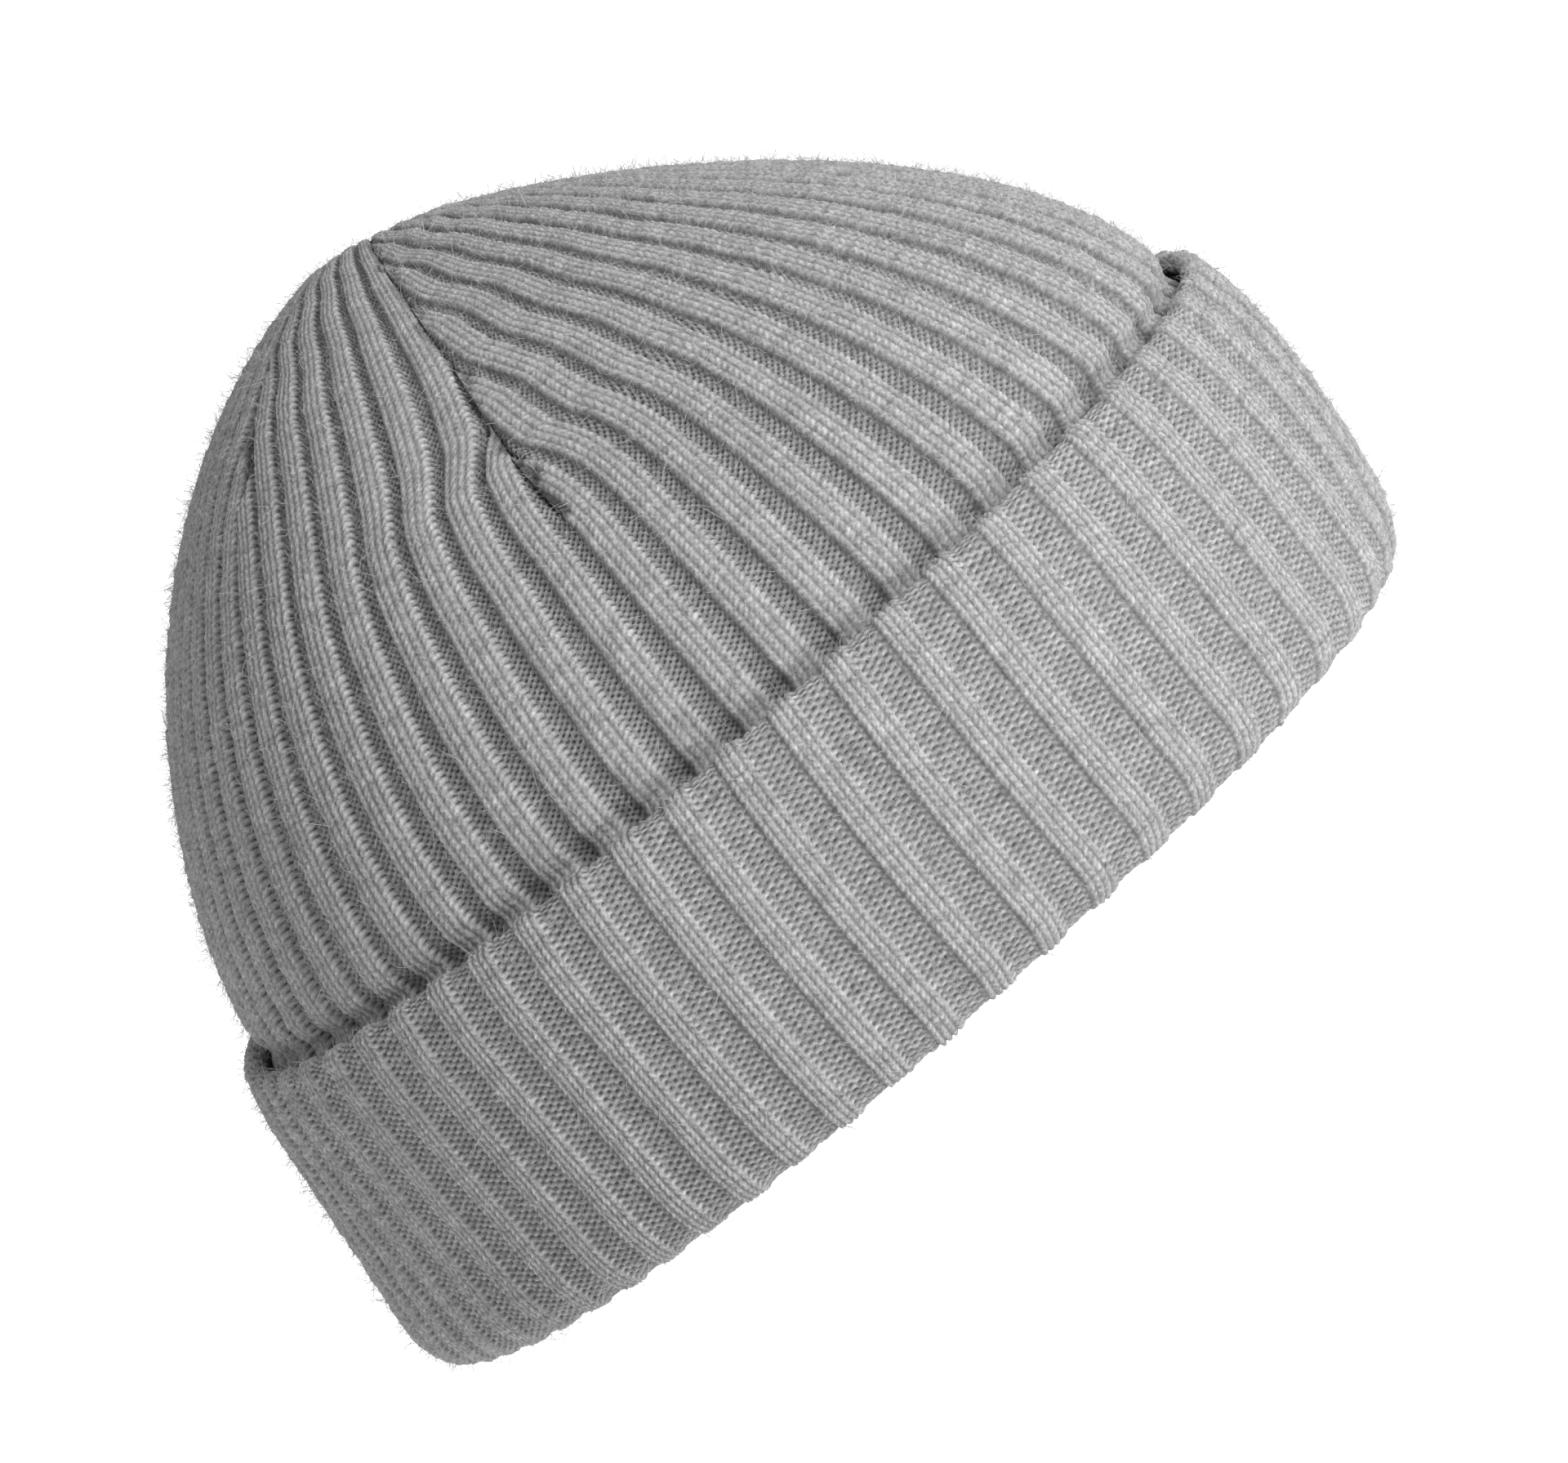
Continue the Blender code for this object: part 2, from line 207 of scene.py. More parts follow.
def lean_at(height):
    return LEAN * (np.minimum(height, CUFF_TOP) - LEAN_MIDDLE) / CUFF_TOP


def ring_points(angle, outset, height):
    radius = oval_radius(angle, outset)
    return np.stack(
        [lean_at(height) + radius * np.cos(angle), radius * np.sin(angle), height + 0 * angle], -1
    )


def crown_powers(angle):
    power = CROWN_POWER + CROWN_POWER_FRONT * np.cos(angle)
    return power, CROWN_ROOT + CROWN_ROOT_FRONT * np.cos(angle)


def crown_radius(angle, rise):
    power, root = crown_powers(angle)
    return oval_radius(angle, 0) * (1 - np.clip(rise, 0, 1) ** power) ** root


def crown_surface(x, y):
    """The crown's outer face over places in plan, measured from the crown's middle."""
    angle = np.arctan2(y, x)
    power, root = crown_powers(angle)
    inside = np.clip(np.hypot(x, y) / oval_radius(angle, 0), 0, 1)
    level = (1 - inside ** (1 / root)) ** (1 / power)
    from_gather = np.hypot(x - GATHER_FORWARD, y - GATHER_LEFT)
    dimple = DIMPLE_DEPTH * np.exp(-((from_gather / DIMPLE_RADIUS) ** 2))
    return np.stack([APEX_X + x, y, CUFF_TOP + CROWN_RISE * level - dimple], -1)


def crown_points(angle, rise):
    """Points of the crown, whose lines all drift to the place where the ribs gather."""
    radius = crown_radius(angle, rise)
    drift = np.clip(rise, 0, 1) ** 3
    x = radius * np.cos(angle) + GATHER_FORWARD * drift
    return crown_surface(x, radius * np.sin(angle) + GATHER_LEFT * drift)


def even_turns():
    """A table of angle against the share of the way round, so that wales are equally wide all round."""
    angle = np.linspace(0, 2 * np.pi, 2881)
    points = ring_points(angle, 0, np.full_like(angle, CUFF_TOP))
    steps = np.linalg.norm(np.diff(points, axis=0), axis=1)
    share = np.concatenate([[0], np.cumsum(steps)])
    return share / share[-1], angle


TURN_SHARE, TURN_ANGLE = even_turns()


def turn_angle(share):
    """The angle at a share of the way round the pattern, whose ribs crowd together at the back."""
    share = share + CROWDING / (2 * np.pi) * np.sin(2 * np.pi * share) + TURN
    whole = np.floor(share)
    return np.interp(share - whole, TURN_SHARE, TURN_ANGLE) + 2 * np.pi * whole


def crown_table():
    """The rise at an even share of the arc from the cuff's top to the apex, for angles all round."""
    angles = np.linspace(0, 2 * np.pi, 181)
    rises = 1 - (1 - np.linspace(0, 1, 1500)) ** 2
    shares = np.linspace(0, 1, 601)
    table = np.empty((len(shares), len(angles)))
    lengths = np.empty(len(angles))
    for column, angle in enumerate(angles):
        radius = crown_radius(np.full_like(rises, angle), rises)
        arc = np.concatenate([[0], np.cumsum(np.hypot(np.diff(radius), CROWN_RISE * np.diff(rises)))])
        table[:, column] = np.interp(shares, arc / arc[-1], rises)
        lengths[column] = arc[-1]
    return table, lengths.mean()


CROWN_TABLE, CROWN_ARC = crown_table()
WALL_COURSES = round((CUFF_TOP - FOLD_TOP) / COURSE)
CROWN_COURSES = round(CROWN_ARC / COURSE)


def crown_rise(angle, share):
    """The rise at this share of the arc, between the entries of the table."""
    rows, columns = CROWN_TABLE.shape
    row = np.clip(share, 0, 1) * (rows - 1)
    column = (angle % (2 * np.pi)) / (2 * np.pi) * (columns - 1)
    r = np.minimum(row.astype(int), rows - 2)
    c = np.minimum(column.astype(int), columns - 2)
    a, b = row - r, column - c
    low = CROWN_TABLE[r, c] * (1 - b) + CROWN_TABLE[r, c + 1] * b
    high = CROWN_TABLE[r + 1, c] * (1 - b) + CROWN_TABLE[r + 1, c + 1] * b
    return low * (1 - a) + high * a


def smoothly(value):
    value = np.clip(value, 0, 1)
    return value * value * (3 - 2 * value)


def body_points(share, course):
    """The body's outer face at a share of the way round and a number of courses above the fold."""
    arc = (course - WALL_COURSES) / CROWN_COURSES
    back = np.where(np.abs(share % 1 - 0.5) < 0.25, np.sin(4 * np.pi * (share - 0.5)), 0)
    angle = turn_angle(share - BACK_LEAN * back * smoothly(arc / 0.6 + 0.3))
    height = FOLD_TOP + (CUFF_TOP - FOLD_TOP) * course / WALL_COURSES
    wall = ring_points(angle, 0, np.minimum(height, CUFF_TOP))
    crown = crown_points(angle, crown_rise(angle, np.maximum(arc, 0)))
    return np.where((arc > 0)[..., None], crown, wall)


def body_knit_share(course):
    arc = (course - WALL_COURSES) / CROWN_COURSES
    return KNIT_SHARE_BODY + KNIT_SHARE_CROWN * smoothly(arc / 0.5)


def waist(course):
    """How far the body is drawn in under the cuff's edge."""
    return WAIST_DEPTH * np.exp(-(((course - WALL_COURSES) * COURSE / WAIST_WIDTH) ** 2))


def surface_normals(surface, share, course):
    """Normals of a smooth surface, read from its formula so that neighbouring pieces agree."""
    tiny_share, tiny_course = 1e-4, 0.1
    side = surface(share + tiny_share, course) - surface(share - tiny_share, course)
    up = surface(share, course + tiny_course) - surface(share, course - tiny_course)
    normal = np.cross(side, up)
    return normal / np.maximum(np.linalg.norm(normal, axis=-1, keepdims=True), 1e-12)


def gore_foot_course():
    """The number of courses at which the gores begin."""
    share = np.linspace(0, 1, 61)
    courses = np.arange(WALL_COURSES, WALL_COURSES + CROWN_COURSES)
    heights = np.array([body_points(share, np.full_like(share, c))[:, 2].mean() for c in courses])
    return int(courses[np.argmin(np.abs(heights - GORE_START))])


GORE_FOOT = gore_foot_course()
GORE_TOP = WALL_COURSES + CROWN_COURSES * CROWN_END


# The relief of the stitches.


def read_table(table, x, y):
    """Reads a table smoothly at x, which wraps round, and y, which stops at the ends."""
    rows, columns = table.shape
    x = x % columns
    y = np.clip(y, 0, rows - 1.001)
    i, j = x.astype(int), y.astype(int)
    a, b = x - i, y - j
    a, b = a * a * (3 - 2 * a), b * b * (3 - 2 * b)
    right = (i + 1) % columns
    low = table[j, i] * (1 - a) + table[j, right] * a
    high = table[j + 1, i] * (1 - a) + table[j + 1, right] * a
    return low * (1 - b) + high * b


WANDER_TABLE = rng.normal(size=(90, WALES))
STITCH_TABLE = rng.normal(size=(360, WALES))


def spread_wales(wale, knit_share):
    """Where a wale lies across the cloth, once the knit wales have spread and the purl ones drawn in."""
    whole = np.floor(wale / REPEAT) * REPEAT
    part = wale - whole
    knit_width = REPEAT * knit_share
    knit = part * knit_width / 2
    purl = knit_width + (part - 2) * (REPEAT - knit_width) / 2
    return whole + np.where(part < 2, knit, purl)


def rib_height(wale):
    """1 on top of the two knit wales, a little less at their sides, and 0 on the floor of the purl wales."""
    part = wale % REPEAT
    beyond = np.abs(part - 1)
    beyond = np.minimum(beyond, REPEAT - beyond)
    flank = smoothly((1 + FLANK / 2 - beyond) / FLANK)
    return flank * (1 - 0.22 * np.clip(beyond, 0, 1) ** 2)


def stitch_relief(wale, course, upright):
    """The legs of the knit wales and the bumps of the purl ones: their height, and a lightness of painted
    shade in their grooves, 0 to 1.
    """
    part = wale % REPEAT
    across = wale % 1
    from_middle = np.abs(2 * across - 1)
    leg = np.abs(np.sin(2 * np.pi * across)) ** 0.8
    turn = course - LEG_SLANT * from_middle if upright else course + LEG_SLANT * from_middle
    groove = (0.5 + 0.5 * np.cos(2 * np.pi * turn)) ** 2
    knit = (0.3 + 0.7 * leg) * (1 - 0.55 * groove)
    checks = 0.5 + 0.5 * np.cos(2 * np.pi * course) * np.cos(2 * np.pi * (across - 0.5))
    purl = 1 - (1 - checks) ** 1.8
    # the second value is painted shade, darker in the grooves between legs and between purl bumps
    return np.where(part < 2, knit, purl), np.where(part < 2, 0.25 + 0.75 * knit, purl)


def knit_relief(wale, course, room, depth, upright):
    """How far the cloth lies below its outermost face, with the two values of painted shade that colour it:
    the rib's, darker in its valleys, and the stitches'.

    room is how wide a wale has here, against its full width. Tight wales stand a little less proud.
    """
    moved = wale + WANDER * read_table(WANDER_TABLE, wale, course / 4)
    rib = rib_height(moved)
    stitch, light = stitch_relief(wale, course, upright)
    uneven = read_table(STITCH_TABLE, wale, course)
    height = np.where(wale % REPEAT < 2, LEG_HEIGHT, BUMP_HEIGHT) * np.clip(room, 0.2, 1)
    yarn = height * (stitch * (1 + 0.12 * uneven) - 1) + 0.00006 * uneven
    # rib goes into the colour as painted shade, darker on the floor of the purl valleys
    return yarn - depth * np.clip(room, 0.05, 1.1) ** 0.35 * (1 - rib), rib, light


def inner_relief(wale, course, room, depth, thickness=CLOTH):
    """The same for the inner face, where the ribs stand the other way round."""
    rib = rib_height(wale)
    stitch, light = stitch_relief(wale + 2, course, True)
    drop = -thickness - depth * np.clip(room, 0.05, 1.1) ** 0.35 * (1 - rib)
    # 1 - rib is painted shade, darker in the inner face's valleys
    return drop + (1 - stitch) * BUMP_HEIGHT * np.clip(room, 0.2, 1), 1 - rib, light


# Meshes.


def grid_faces(index):
    """Quads over a grid of vertex numbers, rows up and columns round."""
    a, b = index[:-1, :-1].ravel(), index[:-1, 1:].ravel()
    c, d = index[1:, 1:].ravel(), index[1:, :-1].ravel()
    return np.stack([a, b, c, d], 1)


class Cloth:
    """Collects the vertices, faces and attributes of one piece of knitting."""

    def __init__(self):
        self.points, self.faces = [], []
        self.values = {"rib": [], "stitch": [], "wale": [], "course": []}
        self.count = 0

    def add_points(self, points, **values):
        """Adds a grid of points, and gives their numbers in the same grid."""
        shape = points.shape[:-1]
        self.points.append(points.reshape(-1, 3))
        for name, store in self.values.items():
            store.append(np.broadcast_to(values.get(name, 0.5), shape).reshape(-1))
        start = self.count
        self.count += int(np.prod(shape))
        return start + np.arange(np.prod(shape)).reshape(shape)

    def add_quads(self, quads, flip=False):
        self.faces.append(quads[:, ::-1] if flip else quads)

    def bridge(self, first, second, flip=False):
        """Triangles between two rows of vertices that run side by side from end to end."""
        i = j = 0
        made = []
        while i < len(first) - 1 or j < len(second) - 1:
            step_first = (i + 1) / (len(first) - 1) if i < len(first) - 1 else 2
            step_second = (j + 1) / (len(second) - 1) if j < len(second) - 1 else 2
            if step_first <= step_second:
                made.append((first[i], first[i + 1], second[j], second[j]))
                i += 1
            else:
                made.append((first[i], second[j + 1], second[j], second[j]))
                j += 1
        self.add_quads(np.array(made), flip)

    def close(self, front, back, sides=False):
        """Joins two faces along their first and last rows, and along their sides where they have any."""
        self.bridge(front[0], back[0], flip=True)
        self.bridge(front[-1], back[-1])
        if sides:
            self.bridge(front[:, 0], back[:, 0])
            self.bridge(front[:, -1], back[:, -1], flip=True)

    def build(self, name):
        points = np.concatenate(self.points).astype(np.float32)
        quads = np.concatenate(self.faces)
        a, b, c, d = quads.T
        keep = np.stack([np.ones(len(a), bool), b != a, c != b, (d != c) & (d != a)], 1)
        sides = keep.sum(1)
        good = (sides >= 3) & (a != c) & (b != d)
        quads, keep, sides = quads[good], keep[good], sides[good]
        loops = quads[keep]
        starts = np.concatenate([[0], np.cumsum(sides)[:-1]])
        used = np.zeros(len(points), bool)
        used[loops] = True
        loops = (np.cumsum(used) - 1)[loops]

        mesh = bpy.data.meshes.new(name)
        mesh.vertices.add(int(used.sum()))
        mesh.vertices.foreach_set("co", points[used].ravel())
        mesh.loops.add(len(loops))
        mesh.loops.foreach_set("vertex_index", loops.astype(np.int32))
        mesh.polygons.add(len(starts))
        mesh.polygons.foreach_set("loop_start", starts.astype(np.int32))
        mesh.update(calc_edges=True)
        mesh.polygons.foreach_set("use_smooth", np.ones(len(starts), bool))
        stored = {key: np.concatenate(values)[used] for key, values in self.values.items()}
        for key in ("rib", "stitch"):
            layer = mesh.attributes.new(key, "FLOAT", "POINT")
            layer.data.foreach_set("value", stored[key].astype(np.float32))
        uv = np.stack([stored["wale"][loops], stored["course"][loops]], 1).astype(np.float32)
        mesh.uv_layers.new(name="stitches").data.foreach_set("uv", uv.ravel())
        mesh.validate()
        thing = bpy.data.objects.new(name, mesh)
        bpy.context.scene.collection.objects.link(thing)
        return thing


def courses_between(first, last, rows):
    return np.linspace(first, last, round((last - first) * rows) + 1)


def tube_cloth(name, first_course, last_course, face_maker):
    """A closed tube of cloth: its two faces and the rims between them."""
    cloth = Cloth()
    grids = []
    for outer, (columns, rows) in ((True, FINE), (False, COARSE)):
        course = courses_between(first_course, last_course, rows)[:, None]
        wale = np.arange(WALES * columns)[None, :] / columns
        wale, course = np.broadcast_arrays(wale, course)
        points, rib, stitch = face_maker(wale, course, outer)
        index = cloth.add_points(points, rib=rib, stitch=stitch, wale=wale, course=course)
        index = np.concatenate([index, index[:, :1]], 1)
        cloth.add_quads(grid_faces(index), flip=not outer)
        grids.append(index)
    cloth.close(*grids)
    return cloth.build(name)


def make_wall():
    """The ribbed tube from the fold to the foot of the gores."""

    def face(wale, course, outer):
        share = spread_wales(wale, body_knit_share(course)) / WALES
        if outer:
            relief, rib, stitch = knit_relief(wale, course, 1.0, RIB_DEPTH_BODY, True)
        else:
            relief, rib, stitch = inner_relief(wale, course, 1.0, RIB_DEPTH_BODY)
        relief = relief - waist(course)
        normals = surface_normals(body_points, share, course)
        points = body_points(share, course) + normals * relief[..., None]
        return points, rib, stitch

    return tube_cloth("rib_knit_wall", 0, GORE_FOOT, face)


def sudden_loss(course, foot_share, total, evenly):
    arc = (course - WALL_COURSES) / CROWN_COURSES
    climbed = np.clip((arc - foot_share) / (CROWN_END - foot_share), 0, 1.2)
    if total < SMALL_LOSS:
        return total * np.clip(climbed / EARLY_LOSS, 0, 1)
    return total * (evenly * climbed + (1 - evenly) * climbed**4)


def dart_loss(course, foot_share, total, evenly):
    """The wales lost on one side of a dart by this course, with the start and the end of the loss eased."""
    steps = np.linspace(-3, 3, 25) * LOSS_BLUR
    weights = np.exp(-0.5 * (steps / LOSS_BLUR) ** 2)
    lost = sudden_loss(course[:, None] + steps, foot_share, total, evenly) @ weights / weights.sum()
    return lost * smoothly((course - GORE_FOOT) / 20)


def losses(dart, course):
    """The wales lost before and after a dart."""
    foot, before, after, evenly = DARTS[dart][1:]
    return dart_loss(course, foot, before, evenly), dart_loss(course, foot, after, evenly)


def room_table():
    """How wide a wale is at each course of the crown, against its width at the gores' foot."""
    course = np.arange(GORE_FOOT, WALL_COURSES + CROWN_COURSES, dtype=float)
    share = np.linspace(0, 1, 241)[None, :]
    ring = body_points(*np.broadcast_arrays(share, course[:, None]))
    girth = np.linalg.norm(np.diff(ring, axis=1), axis=-1).sum(1)
    left = WALES - sum(sum(losses(dart, course)) for dart in DARTS)
    width = girth / left
    return course, width / width[0]


ROOM_COURSE, ROOM = room_table()


def dart_bow(dart, arc):
    """How far a dart's line bows from its wale, in wales."""
    swell = np.exp(-(((arc - BOW_SHARE) / BOW_WIDTH) ** 2))
    return DART_BOW.get(dart, 0) * swell * smoothly((arc - BOW_START) / BOW_EASE)


def gore_lines(first_dart, last_dart, course, columns):
    """The wales at each course of a gore, held at the darts that took them, and where they lie."""
    first, last = DARTS[first_dart][0], DARTS[last_dart][0] or WALES
    lost_first = losses(first_dart, course)[1][:, None]
    lost_last = losses(last_dart, course)[0][:, None]
    wale = first + np.arange((last - first) * columns + 1)[None, :] / columns
    low, high = first + lost_first, last - lost_last
    held = np.clip(wale, low, high)
    knit_share = body_knit_share(course)[:, None]
    spread, start, end = (spread_wales(w, knit_share) for w in (held, low, high))
    arc = (course[:, None] - WALL_COURSES) / CROWN_COURSES
    reach = BEND_LOW + (BEND_HIGH - BEND_LOW) * smoothly((arc - BEND_START) / BEND_SPAN)
    left = np.exp(-(end - start) / reach)
    from_first = (np.exp(-(spread - start) / reach) - left) / (1 - left)
    from_last = (np.exp(-(end - spread) / reach) - left) / (1 - left)
    place = spread - (start - first - dart_bow(first_dart, arc)) * from_first
    place = place + (last + dart_bow(last_dart, arc) - end) * from_last
    share = place / WALES
    return wale, held, low, high, share


def tilted_courses(share, course):
    """Turns the courses square to wales that lean, by adding up the lean along each row.

    Both edges of a gore keep their count, so that its courses meet its neighbours'.
    """
    points = body_points(share, course)
    across = np.linalg.norm(np.diff(points, axis=1), axis=-1)
    up = np.diff(points, axis=0)
    up = np.concatenate([up, up[-1:]])
    side = np.diff(points, axis=1)
    side = np.concatenate([side, side[:, -1:]], 1)
    side /= np.maximum(np.linalg.norm(side, axis=-1, keepdims=True), 1e-9)
    square = np.linalg.norm(up - (up * side).sum(-1, keepdims=True) * side, axis=-1)
    lean = (up * side).sum(-1) / np.maximum(square, 1e-9)
    step = 0.5 * (lean[:, 1:] + lean[:, :-1]) * across
    total = np.concatenate([np.zeros((len(step), 1)), np.cumsum(step, 1)], 1)
    total -= total[:, -1:] * np.linspace(0, 1, total.shape[1])
    return course + total / COURSE


def gore_face(cloth, first_dart, last_dart, outer):
    """One face of a gore. Wales that have met a dart are gathered on its edge."""
    columns, rows = FINE if outer else COARSE
    course = courses_between(GORE_FOOT, GORE_TOP, rows)
    wale, held, low, high, share = gore_lines(first_dart, last_dart, course, columns)
    level = np.broadcast_to(course[:, None], share.shape)
    base = body_points(share, level)
    room = np.interp(course, ROOM_COURSE, ROOM)[:, None]
    tilt = tilted_courses(share, level) - level
    counted = level + tilt * smoothly((level - GORE_FOOT) / TILT_COURSES)
    arc = (level - WALL_COURSES) / CROWN_COURSES
    if outer:
        relief, rib, stitch = knit_relief(held, counted, room, RIB_DEPTH_BODY, True)
        for near, dart, side in ((held - low, first_dart, 1), (high - held, last_dart, -1)):
            place, foot = DARTS[dart][:2]
            jog = side * DART_JOG * read_table(WANDER_TABLE, np.full_like(course, place), course / 2)
            crack = np.exp(-(((near - jog[:, None]) / DART_WIDTH) ** 2))
            crack = crack * smoothly((arc - foot + 0.01) / 0.02)
            relief = relief - crack * DART_DEPTH * (1 - 0.5 * smoothly((arc - foot) / 0.3))
            # painted shade in the dart's crease, a little weaker above its foot
            stitch = stitch * (1 - 0.9 * crack * (1 - 0.4 * smoothly((arc - foot) / 0.25)))
    else:
        relief, rib, stitch = inner_relief(held, counted, room, RIB_DEPTH_BODY)
    relief = relief + RING_HEIGHT * np.exp(-(((arc - RING_SHARE) / RING_WIDTH) ** 2))
    points = base + surface_normals(body_points, share, level) * relief[..., None]
    number = cloth.add_points(points, rib=rib, stitch=stitch, wale=held, course=counted)
    first = (wale <= low).sum(1) - 1
    last = wale.shape[1] - (wale >= high).sum(1)
    column = np.clip(np.arange(wale.shape[1])[None, :], first[:, None], last[:, None])
    index = np.take_along_axis(number, column, 1)
    cloth.add_quads(grid_faces(index), flip=not outer)
    return index


def make_gore(first_dart, last_dart, name):
    cloth = Cloth()
    outer = gore_face(cloth, first_dart, last_dart, True)
    inner = gore_face(cloth, first_dart, last_dart, False)
    cloth.close(outer, inner, sides=True)
    return cloth.build(name)


# The cuff is the same cloth turned inside out, so its ribs stand where the body's valleys are.


def cuff_swell(angle, height):
    """How the soft cuff swells at the front, draws in at the back and waves a little round the hat."""
    up = np.clip((height - FOLD_TOP) / (CUFF_TOP - FOLD_TOP), 0, 1)
    forward = 0.5 + 0.5 * np.cos(angle)
    belly = np.sin(np.pi * up) * (0.0014 * forward**2 - 0.0008 * (1 - forward) ** 2)
    belly = belly - (LIP_FRONT * forward**3 + LIP_BACK * (1 - forward) ** 3) * up**3
    return belly + 0.0004 * up * (np.sin(3 * angle + 0.6) + 0.7 * np.sin(7 * angle + 2.1))


def cuff_profile():
    """The cross-section of the cuff's outer face, from inside the hat, round the fold, to the rolled edge.

    It gives the courses along it, and the outset and height at each.
    """
    middle = (CUFF_OUTSET - FABRIC) / 2
    across = (CUFF_OUTSET + FABRIC) / 2
    bend = np.linspace(math.pi, 1.5 * math.pi, ARC_POINTS)
    inner = np.stack([middle + across * np.cos(bend), FOLD_TOP + FOLD_TOP * np.sin(bend)], 1)
    bend = np.linspace(1.5 * math.pi, 2 * math.pi, ARC_POINTS)[1:]
    outer = np.stack([middle + across * np.cos(bend), CUFF_ROUND + CUFF_ROUND * np.sin(bend)], 1)
    height = np.linspace(CUFF_ROUND, EDGE_START, LEG_POINTS)[1:]
    curl = np.maximum(height - CURL_START, 0) / (CURL_END - CURL_START)
    leg = np.stack([CUFF_OUTSET - CURL * curl**2, height], 1)
    start = math.atan2(leg[-2, 0] - leg[-1, 0], leg[-1, 1] - leg[-2, 1])
    bend = np.linspace(start, LIP_TURN, ARC_POINTS)
    lip = np.stack([LIP_OUT + LIP_RADIUS * np.cos(bend), LIP_HEIGHT + LIP_RADIUS * np.sin(bend)], 1)
    points = np.concatenate([inner, outer, leg, lip])
    steps = np.linalg.norm(np.diff(points, axis=0), axis=1)
    return np.concatenate([[0], np.cumsum(steps)]) / COURSE, points[:, 0], points[:, 1]


PATH, PATH_OUT, PATH_HEIGHT = cuff_profile()
LOWEST = PATH[np.argmin(PATH_HEIGHT)]
OUTSIDE = slice(ARC_POINTS, 3 * ARC_POINTS)  # past the lowest point, where the path climbs
FOLD_END = np.interp(FOLD_TOP, PATH_HEIGHT[OUTSIDE], PATH[OUTSIDE])
CUFF_END = PATH[-ARC_POINTS - 1]  # the last point before the rolled edge


def folded_points(share, course):
    """Points of the cuff's outer face at a share of the way round and a number of courses along it."""
    outset, height = np.interp(course, PATH, PATH_OUT), np.interp(course, PATH, PATH_HEIGHT)
    up = np.clip((height - FOLD_TOP) / (CUFF_TOP - FOLD_TOP), 0, 1)
    behind = np.clip(np.cos(2 * np.pi * (share - 0.555)), 0, 1) ** 4
    twist = (CUFF_TWIST * (1 - up) ** 2 + CUFF_TWIST_BACK * behind * (1 - up)) * smoothly(course / LOWEST)
    angle = turn_angle(share + twist)
    return ring_points(angle, outset + cuff_swell(angle, height), height)


def make_cuff_part(name, first_course, last_course):
    """A ring of the cuff. Its wales are counted so that a knit wale of the body comes out as a purl one."""
    stops = [0, LOWEST, LOWEST + 10, CUFF_END, PATH[-1]]

    def face(wale, course, outer):
        knit_share = 1 - KNIT_SHARE_BODY
        knit_share = knit_share + (KNIT_SHARE_CUFF - knit_share) * smoothly(course / LOWEST)
        shift = 2 * (1 + KNIT_SHARE_BODY - knit_share) + CUFF_PHASE * smoothly(course / LOWEST)
        share = (spread_wales(wale, knit_share) + shift) / WALES
        if outer:
            depth = np.interp(course, stops, [0.0012, 0.0005, 0.0010, 0.0010, 0.0003])
            relief, rib, stitch = knit_relief(wale, course, 1.0, depth, False)
        else:
            depth = np.interp(course, stops, [0.0010, 0.0005, 0.0009, 0.0006, 0.0001])
            thickness = np.interp(course, stops, [CLOTH, CLOTH, CLOTH, CLOTH, 0.0009])
            relief, rib, stitch = inner_relief(wale, course, 1.0, depth, thickness)
        normals = surface_normals(folded_points, share, course)
        points = folded_points(share, course) + normals * relief[..., None]
        # the rib value is painted shade, held lighter in the cuff's purl valleys than on the body
        return points, CUFF_VALLEY_SHADE_LEVEL + (1 - CUFF_VALLEY_SHADE_LEVEL) * rib, stitch

    return tube_cloth(name, first_course, last_course, face)


# The gathered middle, the seams and the label.


def make_rope(name, route, radius, pitch):
    """A yarn of two twisted plies along the route, with rounded ends."""
    steps = np.linalg.norm(np.diff(route, axis=0), axis=1)
    along = np.concatenate([[0], np.cumsum(steps)])
    count = max(int(along[-1] / (radius * 0.35)), 8)
    place = np.linspace(0, along[-1], count)
    middle = np.stack([np.interp(place, along, route[:, axis]) for axis in range(3)], 1)
    heading = np.gradient(middle, axis=0)
    heading /= np.linalg.norm(heading, axis=1, keepdims=True)
    side = np.cross(heading, (0.31, 0.17, 0.93))
    side /= np.linalg.norm(side, axis=1, keepdims=True)
    other = np.cross(heading, side)
    turn = np.linspace(0, 2 * np.pi, ROPE_SIDES + 1)[:-1]
    twist = turn[None, :] - 2 * np.pi * place[:, None] / pitch
    ply = np.abs(np.cos(twist)) ** 0.7
    from_end = np.minimum(place, along[-1] - place)[:, None]
    taper = np.sqrt(np.clip(1 - (1 - np.clip(from_end / radius, 0, 1)) ** 2, 0.0004, 1))
    reach = (radius * taper * (0.72 + 0.28 * ply))[..., None]
    cosine, sine = np.cos(turn)[None, :, None], np.sin(turn)[None, :, None]
    points = middle[:, None] + reach * (cosine * side[:, None] + sine * other[:, None])
    cloth = Cloth()
    counted = {"wale": turn[None, :] / 2, "course": place[:, None] / COURSE}
    # stitch is painted shade, darker in the groove between the plies
    index = cloth.add_points(points, rib=1.0, stitch=0.2 + 0.8 * ply, **counted)
    index = np.concatenate([index, index[:, :1]], 1)
    cloth.add_quads(grid_faces(index), flip=True)
    for row, tip, flip in ((index[0], middle[0], True), (index[-1], middle[-1], False)):
        centre = cloth.add_points(tip[None, :], rib=1.0, stitch=0.6)[0]
        fan = [(row[step], row[step + 1], centre, centre) for step in range(len(row) - 1)]
        cloth.add_quads(np.array(fan), flip=flip)
    return cloth.build(name)


